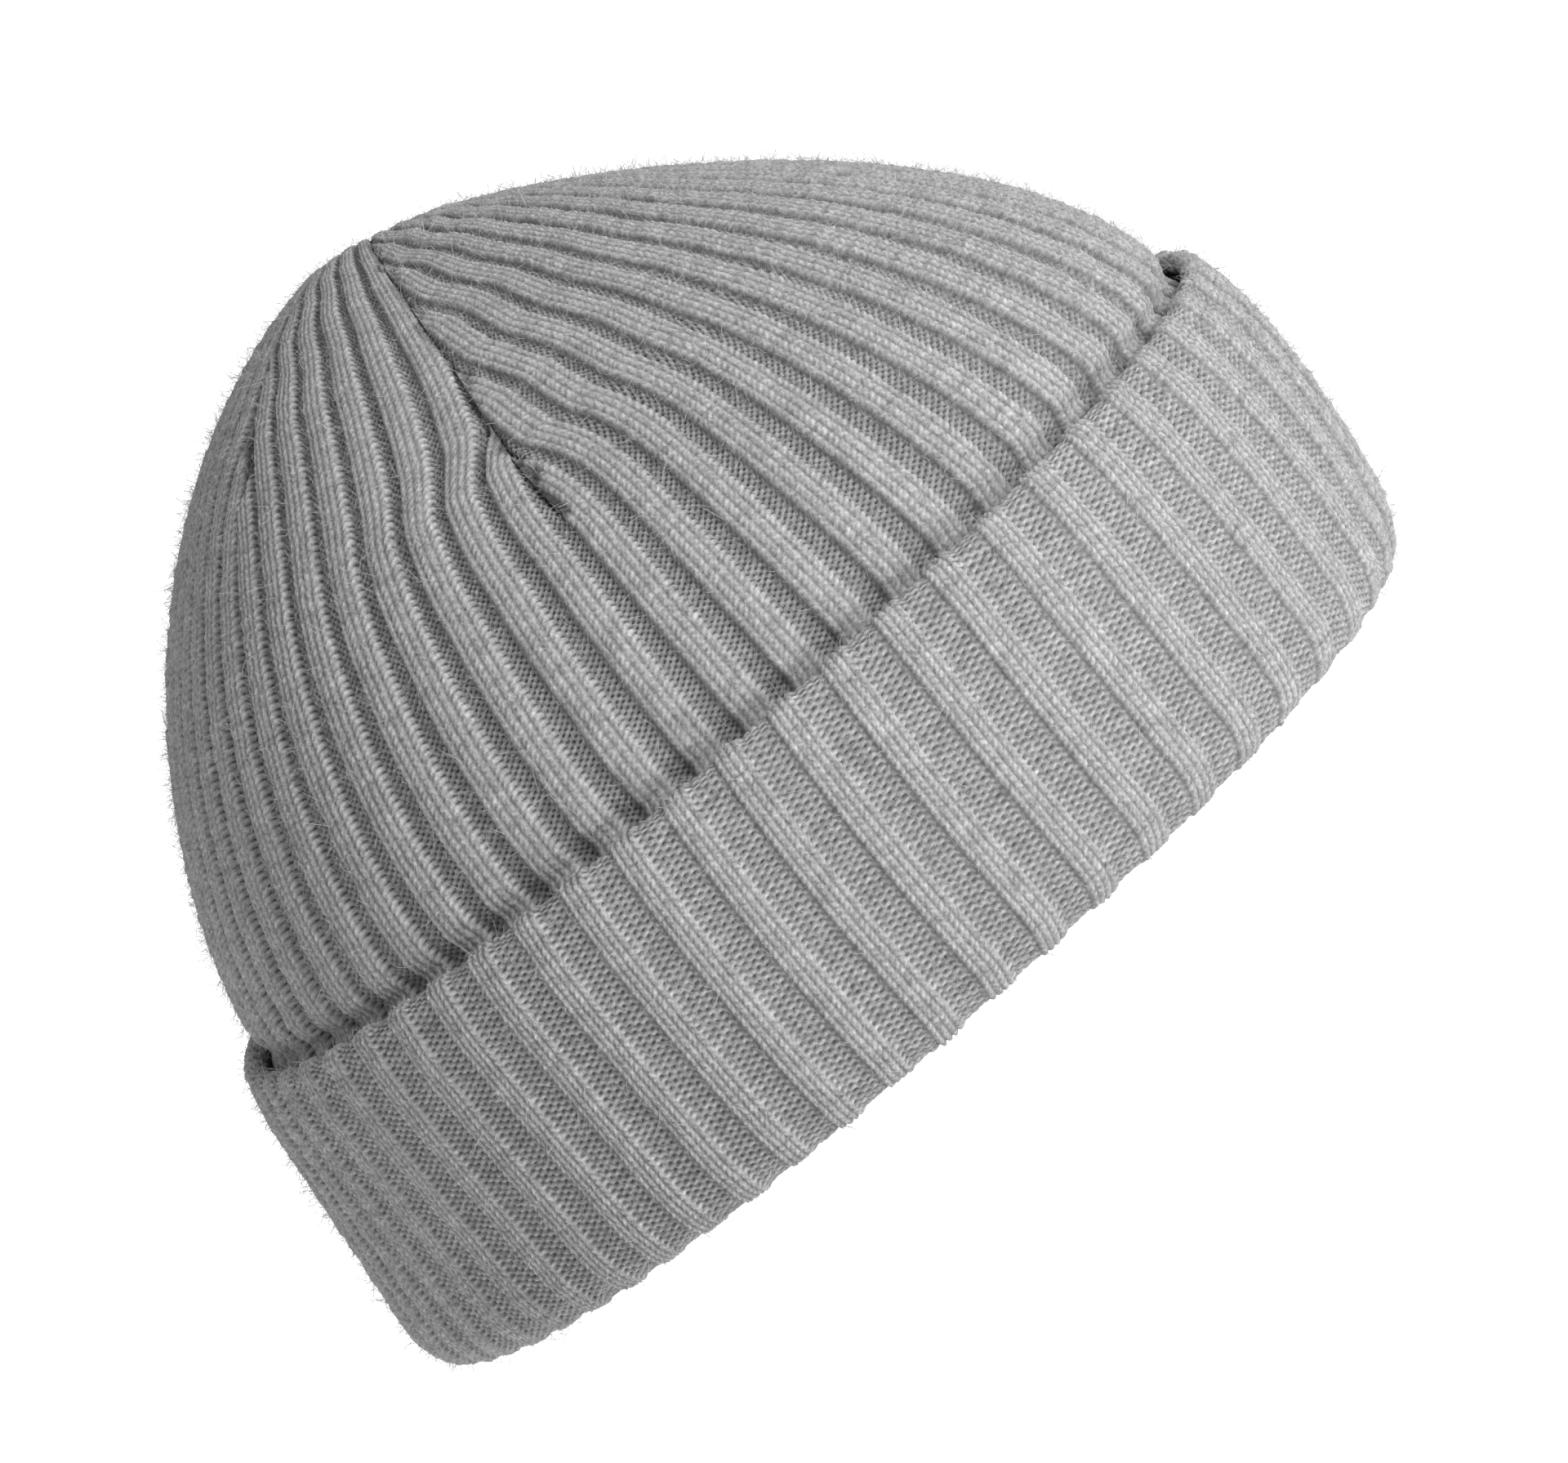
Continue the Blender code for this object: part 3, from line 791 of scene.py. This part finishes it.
def make_seam(name, route):
    return make_rope(name, route, SEAM_RADIUS, SEAM_PITCH)


def dart_route(dart):
    """Along a dart's inner side, from its foot to just short of the gathered middle."""
    place, foot = DARTS[dart][:2]
    course = WALL_COURSES + CROWN_COURSES * np.linspace(foot, 0.945, 60)
    arc = (course - WALL_COURSES) / CROWN_COURSES
    share = (place + dart_bow(dart, arc)) / WALES
    return body_points(share, course) - SEAM_INSET * surface_normals(body_points, share, course)


def back_route():
    course = np.linspace(1.0, GORE_FOOT - 1.5, 60)
    share = np.full_like(course, 0.5 - TURN / (1 - CROWDING))
    inset = (SEAM_INSET + waist(course))[:, None]
    return body_points(share, course) - inset * surface_normals(body_points, share, course)


def cuff_seam_route():
    height = np.linspace(0.0110, 0.0450, 30)
    return ring_points(np.full_like(height, math.pi), 0.0026, height)


def make_closure():
    """The last stitches, drawn together into pleats that sink into the middle of the crown."""
    cloth = Cloth()
    pleats, rows = 16, 44
    turn = np.linspace(0, 2 * np.pi, pleats * 14 + 1)[None, :-1]
    reach = np.linspace(CLOSURE_RADIUS * 1.25, 0.00004, rows)[:, None]
    turn, reach = np.broadcast_arrays(turn, reach)
    swirl = turn + 70 * (CLOSURE_RADIUS - reach)
    pleat = np.abs(np.cos(pleats / 2 * swirl)) ** 0.7
    grids = []
    for outer in (True, False):
        base = crown_surface(GATHER_FORWARD + reach * np.cos(turn), GATHER_LEFT + reach * np.sin(turn))
        if outer:
            strands = 0.5 + 0.5 * np.cos(2 * np.pi * reach / 0.0009 + pleats * swirl)
            bell = smoothly(reach / 0.0026)
            lift = -0.0004 - 0.0012 * np.exp(-((reach / 0.0020) ** 2)) + 0.0011 * (pleat - 0.6) * bell
            lift = lift + 0.00018 * strands
            # painted shade: darker in the folds between the pleats and the grooves between the strands
            light = 0.25 + 0.55 * pleat + 0.2 * strands
        else:
            lift = -0.0034 - 0.0006 * np.cos(pleats / 2 * swirl) * smoothly(reach / 0.003)
            light = np.full_like(reach, 0.6)
        base[..., 2] += lift
        index = cloth.add_points(base, rib=1.0, stitch=light, wale=turn, course=reach / COURSE)
        index = np.concatenate([index, index[:, :1]], 1)
        cloth.add_quads(grid_faces(index), flip=not outer)
        grids.append(index)
    cloth.close(*grids)
    return cloth.build("gathered_middle")


def make_drawstring():
    """The yarn that draws the middle together, wound round it and knotted."""
    turn = np.linspace(0, 2 * np.pi * 1.6, 120)
    reach = 0.0017 + 0.0002 * np.sin(3 * turn)
    route = crown_surface(GATHER_FORWARD + reach * np.cos(turn), GATHER_LEFT + reach * np.sin(turn))
    route[:, 2] += -0.0014 + 0.00025 * np.sin(8 * turn) + 0.00035 * turn / 10
    return make_rope("drawn_yarn", route, 0.00042, 0.0018)


def hinge_place(points):
    """From the label hinge's own axes, in metres, to the hat's."""
    tilt = math.atan2(LEAN, CUFF_TOP)
    turn = Matrix.Rotation(tilt, 3, "Y")
    return points @ np.array(turn).T + np.array(LABEL_HINGE)


def make_label():
    """A blank woven label, hemmed above and below, hanging a little away from the wall."""
    thickness, hem = 0.00032, 0.0030
    u = np.linspace(0, 1, 57)[None, :]
    v = np.linspace(0, 1, 91)[:, None]
    u, v = np.broadcast_arrays(u, v)
    across, up = u * LABEL_WIDTH, (v - 0.5) * LABEL_HEIGHT
    edge = np.minimum(v, 1 - v) * LABEL_HEIGHT
    folded = smoothly((hem - edge) / 0.0004)
    stitched = np.exp(-(((edge - hem * 0.75) / 0.00025) ** 2))
    stitches = 0.5 + 0.5 * np.cos(2 * np.pi * across / 0.0022)
    hang = -0.0021 * u**2 + 0.0004 * np.sin(2.2 * np.pi * v + 0.7) * u + 0.0003 * np.sin(5 * u + 4 * v)
    cloth = Cloth()
    grids = []
    for side in (1, -1):
        away = hang + side * (thickness / 2 * (1 + 0.8 * folded) - 0.00012 * stitched * stitches)
        x = away * math.cos(LABEL_REST) + across * math.sin(LABEL_REST)
        y = across * math.cos(LABEL_REST) - away * math.sin(LABEL_REST)
        points = hinge_place(np.stack([x, y, up], -1))
        # darker dashes along each hem's stitching, where the label is pressed in
        light = 1 - 0.5 * stitched * stitches
        index = cloth.add_points(points, rib=folded, stitch=light, wale=across * 1000, course=up * 1000)
        cloth.add_quads(grid_faces(index), flip=side < 0)
        grids.append(index)
    cloth.close(*grids, sides=True)
    return cloth.build("satin_care_label")


def make_tack(name, side):
    """A few turns of sewing thread beside a corner of the label."""
    turn = np.linspace(0, 2 * np.pi * 6, 140)
    middle = side * (LABEL_HEIGHT / 2 + GAP + TACK_LENGTH / 2)
    height = middle + (turn / turn[-1] - 0.5) * (TACK_LENGTH - 0.0006)
    route = np.stack([0.00050 * np.cos(turn), 0.00050 * np.sin(turn), height], 1)
    return make_rope(name, hinge_place(route), 0.00026, 0.0009)


# The loose fibres.


def make_fibres(name, pieces, count, lowest=-math.inf):
    """Fine fibres that stand out of the yarn, rooted on the outward faces of the pieces above a height."""
    centres, normals, areas = [], [], []
    for piece in pieces:
        polygons = piece.data.polygons
        read = {}
        for key, width in (("center", 3), ("normal", 3), ("area", 1)):
            read[key] = np.empty(len(polygons) * width, np.float32)
            polygons.foreach_get(key, read[key])
        centres.append(read["center"].reshape(-1, 3))
        normals.append(read["normal"].reshape(-1, 3))
        areas.append(read["area"])
    centre, normal, area = np.concatenate(centres), np.concatenate(normals), np.concatenate(areas)
    outward = ((centre - (0, 0, 0.03)) * (1, 1, 0.6) * normal).sum(1) > 0
    area = np.where(outward & (centre[:, 2] > lowest), area, 0).astype(np.float64)
    pick = rng.choice(len(area), count, p=area / area.sum())
    root, up = centre[pick].astype(np.float64), normal[pick].astype(np.float64)
    aside = rng.normal(size=(count, 3))
    aside -= (aside * up).sum(1, keepdims=True) * up
    aside /= np.linalg.norm(aside, axis=1, keepdims=True)
    steep = rng.uniform(0.10, 0.85, (count, 1)) ** 1.2
    heading = steep * up + np.sqrt(1 - steep**2) * aside
    curve = rng.normal(scale=0.45, size=(count, 3))
    length = FIBRE_LENGTH * np.clip(rng.lognormal(0, 0.45, (count, 1)), 0.3, 2.4)
    middle = [root - FIBRE_ROOT * up]
    for _ in range(FIBRE_PARTS):
        middle.append(middle[-1] + heading * length / FIBRE_PARTS)
        heading = heading + curve * 0.8
        heading /= np.linalg.norm(heading, axis=1, keepdims=True)
    middle = np.stack(middle, 1)
    side = np.cross(heading, rng.normal(size=(count, 3)))
    side /= np.linalg.norm(side, axis=1, keepdims=True)
    width = FIBRE_WIDTH / 2 * np.array([1, 1, 0.9, 0.4])[None, :, None]
    points = np.stack([middle - width * side[:, None], middle + width * side[:, None]], 2)
    cloth = Cloth()
    index = cloth.add_points(points, rib=1.0, stitch=rng.uniform(0.6, 1.0, (count, 1, 1)))
    near, far = index[:, :-1], index[:, 1:]
    quads = np.stack([near[..., 0], near[..., 1], far[..., 1], far[..., 0]], -1)
    cloth.add_quads(quads.swapaxes(0, 1).reshape(-1, 4))
    return cloth.build(name)


# Materials.


def add_node(tree, kind, **settings):
    node = tree.nodes.new(kind)
    for key, value in settings.items():
        setattr(node, key, value)
    return node


def add_noise(tree, vector, scale, detail, roughness):
    node = add_node(tree, "ShaderNodeTexNoise")
    node.inputs["Scale"].default_value = scale
    node.inputs["Detail"].default_value = detail
    node.inputs["Roughness"].default_value = roughness
    tree.links.new(vector, node.inputs["Vector"])
    return node.outputs["Fac"]


def multiply_colour(tree, colour, source, low, high):
    """Multiplies a colour by a range that a value from 0 to 1 runs through."""
    span = add_node(tree, "ShaderNodeMapRange")
    span.inputs["To Min"].default_value = low
    span.inputs["To Max"].default_value = high
    tree.links.new(source, span.inputs["Value"])
    mix = add_node(tree, "ShaderNodeMix", data_type="RGBA", blend_type="MULTIPLY")
    mix.inputs["Factor"].default_value = 1.0
    tree.links.new(colour, mix.inputs["A"])
    tree.links.new(span.outputs["Result"], mix.inputs["B"])
    return mix.outputs["Result"]


def new_material(name):
    """A material, its nodes and its shader."""
    material = bpy.data.materials.new(name)
    material.use_nodes = True
    return material, material.node_tree, material.node_tree.nodes["Principled BSDF"]


def yarn_material():
    """Heather yarn: light and dark fibres spun together, with painted shade where the stitches and the ribs'
    valleys sink.
    """
    material, tree, shader = new_material("heather_knit")
    shader.inputs["Roughness"].default_value = 0.95
    shader.inputs["Specular IOR Level"].default_value = 0.2
    shader.inputs["Sheen Weight"].default_value = 0.2
    shader.inputs["Sheen Roughness"].default_value = 0.5

    place = add_node(tree, "ShaderNodeTexCoord").outputs["Object"]
    fibres = add_noise(tree, place, 1500.0, 5.0, 0.7)
    flecks = add_noise(tree, place, 480.0, 3.0, 0.6)
    blend = add_node(tree, "ShaderNodeMix", data_type="FLOAT")
    blend.inputs["Factor"].default_value = 0.2
    tree.links.new(fibres, blend.inputs["A"])
    tree.links.new(flecks, blend.inputs["B"])
    ramp = add_node(tree, "ShaderNodeValToRGB")
    ramp.color_ramp.elements[0].position = 0.25
    ramp.color_ramp.elements[0].color = (*GREY_DARK, 1)
    ramp.color_ramp.elements[1].position = 0.75
    ramp.color_ramp.elements[1].color = (*GREY_LIGHT, 1)
    tree.links.new(blend.outputs["Result"], ramp.inputs["Fac"])
    colour = ramp.outputs["Color"]
    colour = multiply_colour(tree, colour, add_noise(tree, place, 55.0, 2.0, 0.5), *PATCH_SHADE)
    # painted shade in the grooves of the stitches, the pleats and the plies
    stitch = add_node(tree, "ShaderNodeAttribute", attribute_name="stitch").outputs["Fac"]
    colour = multiply_colour(tree, colour, stitch, *PAINTED_STITCH_SHADE)
    # painted shade on the floor of the purl valleys between the ribs
    rib = add_node(tree, "ShaderNodeAttribute", attribute_name="rib").outputs["Fac"]
    colour = multiply_colour(tree, colour, rib, *PAINTED_RIB_SHADE)
    along = add_node(tree, "ShaderNodeMapping")
    along.inputs["Scale"].default_value = (0.45, 1.0, 1.0)
    counted = add_node(tree, "ShaderNodeUVMap", uv_map="stitches").outputs["UV"]
    tree.links.new(counted, along.inputs["Vector"])
    strands = add_noise(tree, along.outputs["Vector"], 0.9, 2.0, 0.6)
    colour = multiply_colour(tree, colour, strands, *STRAND_SHADE)
    tree.links.new(colour, shader.inputs["Base Color"])

    bump = add_node(tree, "ShaderNodeBump")
    bump.inputs["Strength"].default_value = 0.6
    bump.inputs["Distance"].default_value = 0.0003
    tree.links.new(add_noise(tree, place, 3000.0, 4.0, 0.7), bump.inputs["Height"])
    tree.links.new(bump.outputs["Normal"], shader.inputs["Normal"])
    return material


def satin_material():
    """White woven satin: fine warp threads over a weft, a soft shine along the threads, and a dashed darker
    line along each hem's stitching.
    """
    material, tree, shader = new_material("label_satin_weave")
    shader.inputs["Sheen Weight"].default_value = 0.15
    shader.inputs["Anisotropic"].default_value = 0.5
    split = add_node(tree, "ShaderNodeSeparateXYZ")
    tree.links.new(add_node(tree, "ShaderNodeUVMap", uv_map="stitches").outputs["UV"], split.inputs["Vector"])
    threads = []
    for axis, spacing in (("X", 0.22), ("Y", 0.30)):
        wave = add_node(tree, "ShaderNodeMath", operation="SINE")
        scaled = add_node(tree, "ShaderNodeMath", operation="MULTIPLY")
        scaled.inputs[1].default_value = 2 * math.pi / spacing
        tree.links.new(split.outputs[axis], scaled.inputs[0])
        tree.links.new(scaled.outputs["Value"], wave.inputs[0])
        half = add_node(tree, "ShaderNodeMapRange")
        half.inputs["From Min"].default_value = -1.0
        tree.links.new(wave.outputs["Value"], half.inputs["Value"])
        threads.append(half.outputs["Result"])
    weave = add_node(tree, "ShaderNodeMath", operation="MULTIPLY_ADD")
    weave.inputs[1].default_value = 0.3
    tree.links.new(threads[1], weave.inputs[0])
    tree.links.new(threads[0], weave.inputs[2])
    base = add_node(tree, "ShaderNodeRGB")
    base.outputs["Color"].default_value = (0.80, 0.785, 0.74, 1)
    place = add_node(tree, "ShaderNodeTexCoord").outputs["Object"]
    colour = multiply_colour(tree, base.outputs["Color"], weave.outputs["Value"], 0.90, 1.02)
    colour = multiply_colour(tree, colour, add_noise(tree, place, 160.0, 3.0, 0.5), 0.92, 1.05)
    # darker along the hems' stitching, and painted shade between the plies of the tack threads
    stitch = add_node(tree, "ShaderNodeAttribute", attribute_name="stitch").outputs["Fac"]
    colour = multiply_colour(tree, colour, stitch, 0.55, 1.0)
    tree.links.new(colour, shader.inputs["Base Color"])
    rough = add_node(tree, "ShaderNodeMapRange")
    rough.inputs["To Min"].default_value = 0.34
    rough.inputs["To Max"].default_value = 0.52
    tree.links.new(threads[0], rough.inputs["Value"])
    tree.links.new(rough.outputs["Result"], shader.inputs["Roughness"])
    bump = add_node(tree, "ShaderNodeBump")
    bump.inputs["Strength"].default_value = 0.4
    bump.inputs["Distance"].default_value = 0.00008
    tree.links.new(weave.outputs["Value"], bump.inputs["Height"])
    tree.links.new(bump.outputs["Normal"], shader.inputs["Normal"])
    return material


def dress(piece, material, body, slot, *nodes):
    """Gives a piece its material and its place in the frame."""
    piece.data.materials.append(material)
    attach(piece, body)
    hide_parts(*nodes)
    return piece


# The set.


def make_camera():
    """A long lens, a little above the hat, rolled so that the hat leans to the upper left."""
    level_right = Vector((1, 0, 0))
    back = Vector((0, -math.cos(VIEW_ELEVATION), math.sin(VIEW_ELEVATION)))
    level_up = back.cross(level_right)
    right = math.cos(VIEW_ROLL) * level_right - math.sin(VIEW_ROLL) * level_up
    up = math.sin(VIEW_ROLL) * level_right + math.cos(VIEW_ROLL) * level_up
    target = Vector((0, 0, VIEW_MIDDLE)) + VIEW_RIGHT * right - VIEW_DOWN * up
    data = bpy.data.cameras.new("camera")
    data.sensor_width = SENSOR
    data.lens = SENSOR * VIEW_DISTANCE / VIEW_WIDTH
    camera = bpy.data.objects.new("camera", data)
    bpy.context.scene.collection.objects.link(camera)
    turn = Matrix((right, up, back)).transposed().to_4x4()
    camera.matrix_world = Matrix.Translation(target + VIEW_DISTANCE * back) @ turn
    bpy.context.scene.camera = camera


def make_light(name, direction, distance, size, power):
    data = bpy.data.lights.new(name, "AREA")
    data.shape = "DISK"
    data.size = size
    data.energy = power
    light = bpy.data.objects.new(name, data)
    bpy.context.scene.collection.objects.link(light)
    aim = Vector(direction).normalized()
    light.location = Vector((0, 0, VIEW_MIDDLE)) + distance * aim
    light.rotation_euler = aim.to_track_quat("Z", "Y").to_euler()


def brighter_when_seen(tree, light, socket):
    """Sends the light to a socket, or full white where the lens looks straight at it."""
    level = add_node(tree, "ShaderNodeMapRange")
    level.inputs["To Min"].default_value = light
    seen = add_node(tree, "ShaderNodeLightPath").outputs["Is Camera Ray"]
    tree.links.new(seen, level.inputs["Value"])
    tree.links.new(level.outputs["Result"], socket)


def make_set():
    """A white room and a white floor, which the lens sees brighter than they light the hat."""
    world = bpy.data.worlds.new("room")
    world.use_nodes = True
    bpy.context.scene.world = world
    background = world.node_tree.nodes["Background"]
    brighter_when_seen(world.node_tree, ROOM_LIGHT, background.inputs["Strength"])
    background.inputs["Color"].default_value = (1, 1, 1, 1)

    bpy.ops.mesh.primitive_plane_add(size=120, location=(0, 0, -FLOOR_DROP))
    floor = bpy.context.object
    floor.name = "floor"
    material, tree, shader = new_material("white_floor")
    shader.inputs["Base Color"].default_value = (0.85, 0.85, 0.85, 1)
    shader.inputs["Roughness"].default_value = 0.9
    shader.inputs["Emission Color"].default_value = (1, 1, 1, 1)
    brighter_when_seen(tree, FLOOR_LIGHT, shader.inputs["Emission Strength"])
    floor.data.materials.append(material)

    make_light("key", (0.9, -0.9, 0.15), 1.4, 0.8, KEY_POWER)
    bpy.context.scene.view_settings.view_transform = "Standard"


def main():
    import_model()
    make_camera()
    make_set()

    knit = yarn_material()
    wall = dress(make_wall(), knit, "body", "wall_knit", "side_wall")
    order = list(DARTS)
    gores = []
    for name, dart, after in zip(GORES, order, order[1:] + order[:1]):
        gore = make_gore(dart, after, f"rib_knit_gore_{name}")
        gores.append(dress(gore, knit, "body", "crown_knit", f"crown_gore_{name}"))

    fold = dress(make_cuff_part("rib_knit_fold", 0, FOLD_END), knit, "cuff", "cuff_knit", "cuff_fold")
    cuff = dress(make_cuff_part("rib_knit_cuff", FOLD_END, CUFF_END), knit, "cuff", "cuff_knit", "cuff")
    edge = make_cuff_part("rib_knit_edge", CUFF_END, PATH[-1])
    dress(edge, knit, "cuff", "cuff_knit", "cast_on_edge")

    dress(make_closure(), knit, "body", "crown_knit", "crown_closure")
    dress(make_drawstring(), knit, "body", "crown_knit")
    for dart in DARTS:
        ridge = make_seam(f"linked_ridge_{dart}", dart_route(dart))
        dress(ridge, knit, "body", "seam_yarn", f"dart_seam_{dart}")
    dress(make_seam("sewn_back_seam", back_route()), knit, "body", "seam_yarn", "back_seam")
    dress(make_seam("sewn_cuff_seam", cuff_seam_route()), knit, "cuff", "seam_yarn", "cuff_seam")

    satin = satin_material()
    label = dress(make_label(), satin, "label", "label_satin", "care_label")
    for end, side in (("top", 1), ("bottom", -1)):
        dress(make_tack(f"tack_thread_{end}", side), satin, "body", "tack_thread", f"label_tack_{end}")

    loose = make_fibres("body_fibres", [wall, *gores], BODY_FIBRES, BODY_FIBRES_FROM)
    dress(loose, knit, "body", "wall_knit")
    dress(make_fibres("cuff_fibres", [fold, cuff, edge], CUFF_FIBRES), knit, "cuff", "cuff_knit")


main()
